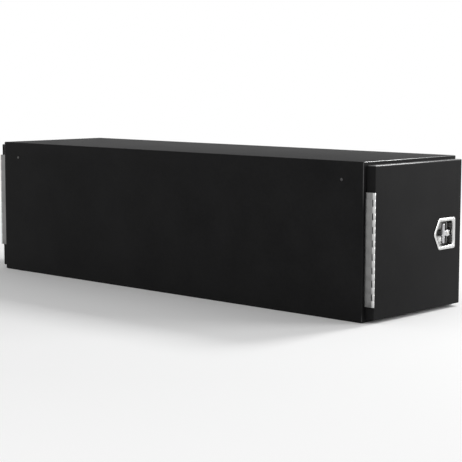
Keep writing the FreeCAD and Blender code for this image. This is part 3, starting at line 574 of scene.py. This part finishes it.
def cutWith(piece, tool, operation="DIFFERENCE"):
    modified(piece, "BOOLEAN", operation=operation, object=tool, solver="EXACT")
    bpy.data.objects.remove(tool)
    return piece


def eased(piece, width, segments=2, angle=35):
    return modified(piece, "BEVEL", width=width * mm, segments=segments, limit_method="ANGLE",
                    angle_limit=math.radians(angle), harden_normals=False)


def cleaned(piece):
    opened(piece)
    bpy.ops.mesh.remove_doubles(threshold=bench["merge"] * mm)
    bpy.ops.mesh.normals_make_consistent(inside=False)
    bpy.ops.object.mode_set(mode="OBJECT")
    return piece


def turned(centre, axis, profile, sides):
    # rings of (radius, height) in mm, each drawn out of the last one along X, Y or Z, which are 0, 1 and 2
    lean = [(0, math.pi / 2, 0), (math.pi / 2, 0, 0), (0, 0, 0)][axis]
    place = Vector(centre)
    place[axis] += profile[0][1] * mm
    piece = begin(bpy.ops.mesh.primitive_circle_add, vertices=sides, radius=profile[0][0] * mm,
                  fill_type="NGON", location=place, rotation=lean)
    for (radius, height), (nextRadius, nextHeight) in zip(profile, profile[1:]):
        step = Vector()
        step[axis] = (nextHeight - height) * mm
        bpy.ops.mesh.extrude_region_move(TRANSFORM_OT_translate={"value": step})
        place += step
        grow = [nextRadius / radius] * 3
        grow[axis] = 1.0
        bpy.ops.transform.resize(value=grow, center_override=place)
    return cleaned(piece)


def mirrored(profile):
    # half a profile and its other half beyond the middle
    return profile + [(radius, -height) for radius, height in reversed(profile)]


def bored(piece, centre, axis, radius, span, sides):
    return cutWith(piece, turned(centre, axis, [(radius, span[0]), (radius, span[1])], sides))


def copied(node):
    # a copy of a CAD node, its loose triangles welded and its flat faces whole again
    clearHands()
    piece = frame["nodes"][node].copy()
    piece.data = piece.data.copy()
    piece.parent = None
    for key in list(piece.keys()):
        del piece[key]
    bpy.context.scene.collection.objects.link(piece)
    piece.hide_render = False
    hold(piece)
    bpy.ops.mesh.customdata_custom_splitnormals_clear()
    opened(piece)
    bpy.ops.mesh.remove_doubles(threshold=bench["weld"] * mm)
    bpy.ops.mesh.dissolve_limited(angle_limit=math.radians(bench["flat"]))
    bpy.ops.object.mode_set(mode="OBJECT")
    return piece


def fitted(piece, name, body, nodes, smooth, finish=None):
    hold(piece)
    piece.name = name
    piece.data.name = name
    piece.data.materials.clear()
    piece.data.materials.append(finishes[finish or finishOf(nodes[0])])
    bpy.ops.object.shade_smooth_by_angle(angle=math.radians(smooth))
    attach(piece, body)
    if nodes:
        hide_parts(*nodes)


def atEnd(piece, side, name, body, node, smooth=40):
    # the left end is the right end turned half a turn about the front to rear axis
    if side == "left":
        piece.data.transform(Matrix.Translation((0, 0, boxHeight)) @ Matrix.Rotation(math.pi, 4, "Y"))
    rider = body if body == "box" else side + "_" + body
    fitted(piece, side + "_" + name, rider, [side + "_" + node], smooth)


# Floor, world and lamps

stage = {
    "floorSize": 60.0,
    "floorDrop": 0.0005,
    "floorColour": (0.92, 0.92, 0.92),
    "floorRoughness": 0.9,
    "floorSpecular": 0.1,
    "shadowReach": 1.9,
    "fade": 2.6,
    "dayLevel": 0.55,
}


def seenDirectly(nodes):
    # 1 for what the camera sees, also in metal and through glass, and 0 for light on the object
    seen, glossy, through = (nodes.node("ShaderNodeLightPath", {}, {}, ray) for ray in (
        "Is Camera Ray", "Is Glossy Ray", "Is Transmission Ray"))
    return (seen + glossy + through).least(1.0)


def paleFloor():
    floor = begin(bpy.ops.mesh.primitive_plane_add, size=stage["floorSize"],
                  location=(0, 0, -stage["floorDrop"]))
    clearHands()
    floor.name = "pale_floor"
    look = Finish("paleFloor", {
        "Base Color": (*stage["floorColour"], 1.0), "Roughness": stage["floorRoughness"],
        "Specular IOR Level": stage["floorSpecular"]})
    coords = look.node("ShaderNodeTexCoord", {}, {}, "Object")
    spread = look.node("ShaderNodeVectorMath", {"operation": "LENGTH"}, {0: coords}, "Value")
    far = look.between((spread - stage["shadowReach"]) * (1.0 / stage["fade"]), 0.0, 1.0)
    glow = look.node("ShaderNodeEmission", {}, {"Color": (1.0, 1.0, 1.0, 1.0), "Strength": 1.0})
    near = Wire(look, look.shader.outputs[0])
    mixed = look.node("ShaderNodeMixShader", {}, {0: seenDirectly(look) * far, 1: near, 2: glow})
    look.feed(look.tree.nodes["Material Output"].inputs["Surface"], mixed)
    floor.data.materials.append(look.material)


def paleWorld():
    world = bpy.data.worlds.new("paleWorld")
    bpy.context.scene.world = world
    world.use_nodes = True
    sky = Nodes(world.node_tree)
    ground = sky.tree.nodes["Background"]
    ground.inputs["Color"].default_value = (1.0, 1.0, 1.0, 1.0)
    sky.feed(ground.inputs["Strength"], seenDirectly(sky) * (1.0 - stage["dayLevel"]) + stage["dayLevel"])


lamps = {
    "endBox": {"place": (5.6, 4.2, 2.0), "aim": (1.1, 0.0, 0.3), "size": 3.2, "watts": 240.0},
    "rearTopBox": {"place": (1.6, 5.0, 5.2), "aim": (1.1, 0.0, 0.6), "size": 1.6, "watts": 260.0},
    "frontFill": {"place": (0.8, -6.0, 4.5), "aim": (0.2, -0.3, 0.3), "size": 3.0, "watts": 55.0},
}


def softLamp(name, lamp):
    data = bpy.data.lights.new(name, "AREA")
    data.shape = "SQUARE"
    data.size = lamp["size"]
    data.energy = lamp["watts"]
    thing = bpy.data.objects.new(name, data)
    bpy.context.scene.collection.objects.link(thing)
    thing.location = lamp["place"]
    thing.rotation_euler = (Vector(lamp["aim"]) - Vector(lamp["place"])).to_track_quat("-Z", "Y").to_euler()


paleFloor()
paleWorld()
for lampName, lamp in lamps.items():
    softLamp(lampName, lamp)
bpy.context.scene.view_settings.view_transform = "Standard"
print("floor and lamps set")


# Body sheets and door pans, with the soft corners that folding and grinding leave, in mm. A larger radius
# would break through the sheet at the corners.

fold = {"radius": 4.4, "segments": 6, "doorBack": 20.0}


def softCorners(node, low, high):
    # whatever stands outside a block with rounded edges is ground away
    sheet = copied(node)
    blank = block(low, high)
    bpy.ops.mesh.bevel(offset=fold["radius"] * mm, segments=fold["segments"], affect="EDGES")
    clearHands()
    return cleaned(cutWith(sheet, blank, "INTERSECT"))


bodyLow, bodyHigh = (-bodyEnd, -halfDepth, 0.0), (bodyEnd, halfDepth, boxHeight)
for node in ("front_top_shell", "rear_floor_shell", "right_end_frame", "left_end_frame"):
    sheet = softCorners(node, bodyLow, bodyHigh)
    fitted(sheet, node + "_folded", "box", [node], smooth=35)
for side in ("right", "left"):
    # the blank starts well behind the pan, so its rear edges round nothing
    low, high = (Vector(corner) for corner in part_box(side + "_door_skin"))
    if side == "right":
        low.x -= fold["doorBack"] * mm
    else:
        high.x += fold["doorBack"] * mm
    pan = softCorners(side + "_door_skin", low, high)
    fitted(pan, side + "_door_pan", side + "_door", [side + "_door_skin"], smooth=35)
print("sheets made")


# Continuous hinge, in mm and degrees: each leaf's tongues are rolled round the pin

hinge = {"pitch": 25.4, "knuckles": 17, "gap": 0.3, "roll": 4.75, "gauge": 1.7, "notch": 5.95, "corner": 3.0,
         "cornerSegments": 5, "wrap": 292.0, "wrapSteps": 22, "soft": 0.18, "softAngle": 50,
         "stake": [(1.6, 0.0), (2.5, 0.15), (2.9, 0.6), (3.0, 1.1)], "pinSides": 24}
pin = pivots["right_door_hinge"]
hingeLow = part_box("right_frame_leaf")[0].z
hingeHigh = hingeLow + hinge["knuckles"] * hinge["pitch"] * mm


def rolledLeaf(node, facing, first):
    # facing tells on which side of the pin the plate lies, and first which knuckle is its lowest
    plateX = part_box(node)[0].x
    outer = pin.y + facing * hinge["roll"] * mm
    inner = outer - facing * hinge["gauge"] * mm
    reach = pin.x - hinge["notch"] * mm
    leaf = block((plateX, min(outer, inner), hingeLow), (reach, max(outer, inner), hingeHigh))
    for knuckle in range(1, hinge["knuckles"]):
        for side in (-1, 1):
            cut = hingeLow + (knuckle * hinge["pitch"] + side * hinge["gap"] / 2) * mm
            bpy.ops.mesh.select_all(action="SELECT")
            bpy.ops.mesh.bisect(plane_co=(0, 0, cut), plane_no=(0, 0, 1))

    def isRoot(face):
        heights = [vertex.co.z for vertex in face.verts]
        atNotch = all(abs(vertex.co.x - reach) < hair for vertex in face.verts)
        knuckle = int((sum(heights) / len(heights) - hingeLow) / (hinge["pitch"] * mm))
        return atNotch and knuckle % 2 == first and max(heights) - min(heights) > 2 * hinge["gap"] * mm

    def isCorner(edge):
        spots = [vertex.co for vertex in edge.verts]
        return all(abs(spot.x - plateX) < hair for spot in spots) and any(
            all(abs(spot.z - end) < hair for spot in spots) for end in (hingeLow, hingeHigh))

    pick("FACE", isRoot)
    bpy.ops.mesh.extrude_region_move(TRANSFORM_OT_translate={"value": (pin.x - reach, 0, 0)})
    bpy.ops.mesh.spin(steps=hinge["wrapSteps"], angle=math.radians(hinge["wrap"]), center=(pin.x, pin.y, 0),
                      axis=(0, 0, facing))
    pick("EDGE", isCorner)
    bpy.ops.mesh.bevel(offset=hinge["corner"] * mm, segments=hinge["cornerSegments"], affect="EDGES")
    return eased(cleaned(leaf), hinge["soft"], angle=hinge["softAngle"])


def hingePin():
    low, high = hingeLow / mm, hingeHigh / mm
    profile = [(radius, low + height) for radius, height in hinge["stake"]]
    profile += [(radius, high - height) for radius, height in reversed(hinge["stake"])]
    return turned((pin.x, pin.y, 0), 2, profile, hinge["pinSides"])


for side in ("right", "left"):
    frameLeaf = rolledLeaf("right_frame_leaf", -1, 0)
    atEnd(frameLeaf, side, "frame_leaf_rolled", "box", "frame_leaf", smooth=30)
    doorLeaf = rolledLeaf("right_door_leaf", 1, 1)
    atEnd(doorLeaf, side, "door_leaf_rolled", "door", "door_leaf", smooth=30)
    atEnd(hingePin(), side, "hinge_pin_staked", "box", "hinge_pin", smooth=30)
print("hinges made")


# Latch, in mm from its middle on the door's face: along to the door's free edge, up, and out of the door

latch = {"spindle": 44.0, "lock": 28.5}
spindle = pivots["right_latch_turn"]
latchMiddle = Vector((doorHigh.x, spindle.y - latch["spindle"] * mm, spindle.z))


def inLatch(along, up, out):
    return latchMiddle + Vector((out, along, up)) * mm


# Latch dish, pressed from one sheet

dish = {"halfWidth": 74.0, "halfHeight": 62.5, "shoulder": 35.0, "corner": 10.0, "cornerSegments": 7,
        "bluntShare": 0.575, "top": 2.5, "gauge": 1.5, "rim": 14.5, "mouth": 5.0, "mouthCorner": 19.0,
        "depth": 31.0, "floorBend": 3.0, "bendSteps": 6, "bushHole": 9.0, "bushSpan": (-40, -20),
        "bushSides": 40, "soft": 0.4, "softAngle": 60, "slack": 0.01}
slant = math.hypot(dish["shoulder"], dish["halfHeight"])


def dishOutline(inset, corner):
    # five-sided face, its point towards the hinge, its corners rounded
    point = inset * slant / dish["halfHeight"] - dish["halfWidth"]
    far, height = dish["halfWidth"] - inset, dish["halfHeight"] - inset
    lean = height * dish["shoulder"] / dish["halfHeight"]
    piece = begin(bpy.ops.mesh.primitive_plane_add, (2 * height * mm, (far - point) * mm, 1), size=1,
                  location=inLatch((point + far) / 2, 0, dish["top"]), rotation=(0, math.pi / 2, 0))
    for up in (1, -1):
        bpy.ops.mesh.select_all(action="SELECT")
        across = Vector((0, -height, up * lean)).normalized()
        bpy.ops.mesh.bisect(plane_co=inLatch(point, 0, dish["top"]), plane_no=across, clear_outer=True)
    farY, shoulderY = inLatch(far, 0, 0).y, inLatch(point + lean, 0, 0).y
    segments = dish["cornerSegments"]
    pick("VERT", lambda vertex: abs(vertex.co.y - farY) < hair)
    bpy.ops.mesh.bevel(offset=corner * mm, segments=segments, affect="VERTICES")
    pick("VERT", lambda vertex: vertex.co.y < shoulderY + hair)
    bpy.ops.mesh.bevel(offset=dish["bluntShare"] * corner * mm, segments=segments, affect="VERTICES")
    return piece


def roundDown(curve, radius):
    # draws the selected face in and down along a quarter turn
    for (across, down), (nextAcross, nextDown) in zip(curve, curve[1:]):
        bpy.ops.mesh.inset(thickness=(nextAcross - across) * radius * mm, depth=0)
        bpy.ops.transform.translate(value=(-(nextDown - down) * radius * mm, 0, 0))


def pressedDish():
    inset = dish["rim"] - dish["mouth"]
    piece = joined(dishOutline(0.0, dish["corner"]), dishOutline(inset, dish["mouthCorner"]))
    opened(piece)
    bpy.ops.mesh.delete(type="ONLY_FACE")
    bpy.ops.mesh.select_mode(type="EDGE")
    bpy.ops.mesh.select_all(action="SELECT")
    bpy.ops.mesh.bridge_edge_loops()

    def inMouth(vertex):
        along, up = (vertex.co.y - latchMiddle.y) / mm, abs(vertex.co.z - latchMiddle.z) / mm
        fromSlant = ((along + dish["halfWidth"]) * dish["halfHeight"] - up * dish["shoulder"]) / slant
        fromSides = min(dish["halfWidth"] - along, dish["halfHeight"] - up)
        return min(fromSlant, fromSides) > inset - dish["slack"]

    pick("VERT", inMouth)
    bpy.ops.mesh.edge_face_add()
    quarter = [math.pi / 2 * step / dish["bendSteps"] for step in range(dish["bendSteps"] + 1)]
    roundDown([(math.sin(angle), 1 - math.cos(angle)) for angle in quarter], dish["mouth"])
    wall = dish["depth"] - dish["mouth"] - dish["floorBend"]
    bpy.ops.mesh.extrude_region_move(TRANSFORM_OT_translate={"value": (-wall * mm, 0, 0)})
    roundDown([(1 - math.cos(angle), math.sin(angle)) for angle in quarter], dish["floorBend"])
    cleaned(piece)
    if piece.data.polygons[0].normal.x < 0:
        opened(piece)
        bpy.ops.mesh.flip_normals()
        bpy.ops.object.mode_set(mode="OBJECT")
    modified(piece, "SOLIDIFY", thickness=dish["gauge"] * mm, offset=-1, use_even_offset=True)
    bored(piece, inLatch(latch["spindle"], 0, 0), 0, dish["bushHole"], dish["bushSpan"], dish["bushSides"])
    return eased(piece, dish["soft"], angle=dish["softAngle"])


rivet = {"inset": 8.3, "nearAlong": 3.4, "nearUp": 5.9, "sides": 24,
         "dome": [(4.0, 2.5), (4.0, 2.75), (3.8, 3.1), (3.35, 3.42), (2.6, 3.64), (1.6, 3.76), (0.6, 3.8)]}


def rivetDomes():
    far = (dish["halfWidth"] - rivet["inset"], dish["halfHeight"] - rivet["inset"])
    near = (dish["shoulder"] - dish["halfWidth"] + rivet["nearAlong"], dish["halfHeight"] - rivet["nearUp"])
    heads = [turned(inLatch(along, side * up, 0), 0, rivet["dome"], rivet["sides"])
             for along, up in (far, near) for side in (1, -1)]
    return joined(*heads)


# T-handle, cast in one with its lock housing

grip = {"along": 2.0, "out": -7.0, "barEnd": [(2.6, 0.0), (4.6, 0.6), (6.0, 1.8), (6.9, 4.2)], "half": 40.0,
        "waist": [(6.9, -16.0), (6.4, -12.0)], "stemHalf": 11.0, "stemTop": -5.0, "stemFoot": -17.0,
        "stemSoft": 2.0, "pivotOut": -13.0, "ear": [(7.4, 0.0), (8.0, 0.6)],
        "housing": [(13.0, -20.0), (13.5, -19.4), (13.5, -4.1), (13.1, -3.1), (12.1, -2.5)],
        "forkFrom": 37.1, "forkTo": 60.0, "forkHalf": 5.3, "pinHole": 2.5, "pinSpan": (-30, 30),
        "bore": 6.3, "cutSpan": (-40, 10), "voxel": 0.62, "smoothing": 5,
        "sides": {"bar": 28, "ear": 40, "housing": 48, "pinHole": 24, "bore": 40}}


def castHandle():
    stemHalf, sides = grip["stemHalf"], grip["sides"]
    barProfile = [(radius, height - grip["half"]) for radius, height in grip["barEnd"]] + grip["waist"]
    bar = turned(inLatch(grip["along"], 0, grip["out"]), 2, mirrored(barProfile), sides["bar"])
    stem = block(inLatch(grip["along"], -stemHalf, grip["stemFoot"]),
                 inLatch(latch["spindle"], stemHalf, grip["stemTop"]))
    pick("EDGE", lambda edge: abs(edge.verts[0].co.z - edge.verts[1].co.z) < hair
         and abs(edge.verts[0].co.x - edge.verts[1].co.x) < hair)
    bpy.ops.mesh.bevel(offset=grip["stemSoft"] * mm, segments=bench["segments"], affect="EDGES")
    pivot = inLatch(latch["spindle"], 0, grip["pivotOut"])
    earProfile = [(radius, height - stemHalf) for radius, height in grip["ear"]]
    ear = turned(pivot, 2, mirrored(earProfile), sides["ear"])
    lockMiddle = inLatch(latch["lock"], 0, 0)
    housing = turned(lockMiddle, 0, grip["housing"], sides["housing"])
    casting = cleaned(joined(bar, stem, ear, housing))
    modified(casting, "REMESH", mode="VOXEL", voxel_size=grip["voxel"] * mm, adaptivity=0.0)
    modified(casting, "SMOOTH", factor=0.5, iterations=grip["smoothing"])
    fork = block(inLatch(grip["forkFrom"], -grip["forkHalf"], grip["cutSpan"][0]),
                 inLatch(grip["forkTo"], grip["forkHalf"], grip["cutSpan"][1]))
    clearHands()
    cutWith(casting, fork)
    bored(casting, pivot, 2, grip["pinHole"], grip["pinSpan"], sides["pinHole"])
    return bored(casting, lockMiddle, 0, grip["bore"], grip["cutSpan"], sides["bore"])


lock = {"lip": [(6.3, -20.0), (6.3, -2.5), (7.3, -2.5), (7.6, -2.35), (7.6, -2.05), (7.35, -1.8),
                (6.9, -1.7)],
        "bore": 4.55, "cutSpan": (-40, 10), "sides": 40,
        "plug": [(4.5, -22.3), (4.5, -2.05), (4.3, -1.78), (4.0, -1.7), (3.4, -1.7), (3.2, -1.95)],
        "keyHalf": 0.6, "keyHigh": 3.2, "keySpan": (-10.7, 1.3), "pawlReach": 10.0, "pawlHalf": 2.2,
        "pawlSpan": (-23.9, -22.3), "pawlSoft": 0.8}


def turnedBarrel():
    lockMiddle = inLatch(latch["lock"], 0, 0)
    barrel = turned(lockMiddle, 0, lock["lip"], lock["sides"])
    return bored(barrel, lockMiddle, 0, lock["bore"], lock["cutSpan"], lock["sides"])


def lockBlock(half, low, high, span):
    return block(inLatch(latch["lock"] - half, low, span[0]), inLatch(latch["lock"] + half, high, span[1]))


def keyedPlug(side):
    # at rest both pawls point up, so the one that will be turned over starts out pointing down
    plug = turned(inLatch(latch["lock"], 0, 0), 0, lock["plug"], lock["sides"])
    keySlot = lockBlock(lock["keyHalf"], -lock["keyHigh"], lock["keyHigh"], lock["keySpan"])
    clearHands()
    cutWith(plug, keySlot)
    low, high = -lock["pawlHalf"], lock["pawlReach"]
    if side == "left":
        low, high = -high, -low
    pawl = lockBlock(lock["pawlHalf"], low, high, lock["pawlSpan"])
    pick("EDGE", lambda edge: abs(edge.verts[0].co.x - edge.verts[1].co.x) > hair)
    bpy.ops.mesh.bevel(offset=lock["pawlSoft"] * mm, segments=bench["segments"], affect="EDGES")
    clearHands()
    return joined(plug, pawl)


for side in ("right", "left"):
    atEnd(pressedDish(), side, "latch_dish_pressed", "door", "latch_dish")
    atEnd(rivetDomes(), side, "latch_rivet_domes", "door", "latch_rivets")
    atEnd(castHandle(), side, "t_handle_cast", "handle", "t_handle", smooth=45)
    atEnd(turnedBarrel(), side, "lock_barrel_turned", "handle", "lock_barrel")
    atEnd(keyedPlug(side), side, "lock_plug_keyed", "lock", "lock_plug")
print("latches made")


# Stay bolts through the front, domed outside and threaded inside, their heights given as places along Y

bolt = {"headRadius": 6.0, "pitch": 1.0, "thread": (-302.9, -296.5), "crest": 2.98, "root": 2.62,
        "ridge": [("crest", 0.0), ("crest", 0.2), ("root", 0.5), ("root", 0.6)],
        "head": [(0.8, -307.4), (2.6, -307.26), (4.1, -306.88), (5.2, -306.25), (5.8, -305.5), (6.0, -304.85),
                 (6.0, -304.8), (2.98, -304.8)],
        "tip": [(2.4, -295.95), (1.6, -295.9)], "sides": 24}


def stayBolt(x, z):
    ridges = []
    depth = bolt["thread"][0]
    while depth < bolt["thread"][1]:
        ridges += [(bolt[part], depth + share * bolt["pitch"]) for part, share in bolt["ridge"]]
        depth += bolt["pitch"]
    return turned((x, 0, z), 1, bolt["head"] + ridges + bolt["tip"], bolt["sides"])


boltsLow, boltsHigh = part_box("stay_bolts")
boltX, boltZ = boltsHigh.x - bolt["headRadius"] * mm, (boltsLow.z + boltsHigh.z) / 2
bolts = joined(stayBolt(-boltX, boltZ), stayBolt(boltX, boltZ))
fitted(bolts, "stay_bolts_domed", "box", ["stay_bolts"], smooth=40)


# Parts whose shape is right already get the soft edges that punching, folding and plating leave: for each
# its body, its slot, the width of its edges in mm and their segments

softEdges = {
    "hinge_rail": ("box", "black_powder_coat", 0.35, 2),
    "strike": ("box", "black_powder_coat", 0.45, 2),
    "door_liner": ("door", "black_powder_coat", 0.35, 2),
    "door_stay_eye": ("door", "black_powder_coat", 0.40, 2),
    "door_seal": ("door", "black_rubber", 3.0, 5),
    "latch_gasket": ("door", "black_rubber", 0.25, 2),
    "latch_bush": ("door", "stainless_steel", 0.30, 2),
    "lock_keeper": ("door", "stainless_steel", 0.25, 2),
    "latch_spindle": ("latch", "zinc_plated_steel", 0.30, 2),
    "latch_cam": ("latch", "zinc_plated_steel", 0.50, 2),
    "latch_cam_nut": ("latch", "zinc_plated_steel", 0.45, 2),
    "handle_pin": ("handle", "stainless_steel", 0.35, 2),
}
for side in ("right", "left"):
    for node, (body, slot, width, segments) in softEdges.items():
        name = side + "_" + node
        rider = body if body == "box" else side + "_" + body
        fitted(eased(copied(name), width, segments), name + "_softened", rider, [name], smooth=40)
for node, slot, width in (("stay_nuts", "zinc_plated_steel", 0.40),
                          ("roof_stiffeners", "black_powder_coat", 0.60)):
    fitted(eased(copied(node), width), node + "_softened", "box", [node], smooth=40)
print("small parts softened")


# Stitch welds in the two long inside corners where the shells meet, in mm

weld = {"radius": 1.75, "valley": 1.45, "start": 0.5, "ripple": 2.0, "slope": 0.25, "crest": (0.35, 0.65),
        "long": 40.0, "bays": 6, "ends": 960.0, "sheet": 1.9, "sides": 10}


def stitch():
    half = weld["long"] / 2
    profile = [(weld["start"], -half)]
    for ripple in range(int(weld["long"] / weld["ripple"])):
        low = ripple * weld["ripple"] - half
        profile.append((weld["valley"], low + weld["slope"]))
        profile += [(weld["radius"], low + share * weld["ripple"]) for share in weld["crest"]]
    profile += [(weld["valley"], half - weld["slope"]), (weld["start"], half)]
    return turned((0, 0, 0), 0, profile, weld["sides"])


pattern = stitch()
beads = []
sheetIn = weld["sheet"] * mm
for y, z in ((sheetIn - halfDepth, sheetIn), (halfDepth - sheetIn, boxHeight - sheetIn)):
    for bay in range(weld["bays"] + 1):
        x = weld["ends"] * (2 * bay / weld["bays"] - 1)
        bead = pattern.copy()
        bead.data = pattern.data.copy()
        bpy.context.scene.collection.objects.link(bead)
        bead.data.transform(Matrix.Translation((x * mm, y, z)))
        beads.append(bead)
bpy.data.objects.remove(pattern)
fitted(joined(*beads), "seam_stitch_welds", "box", [], smooth=60, finish="folded")
print("welds made")
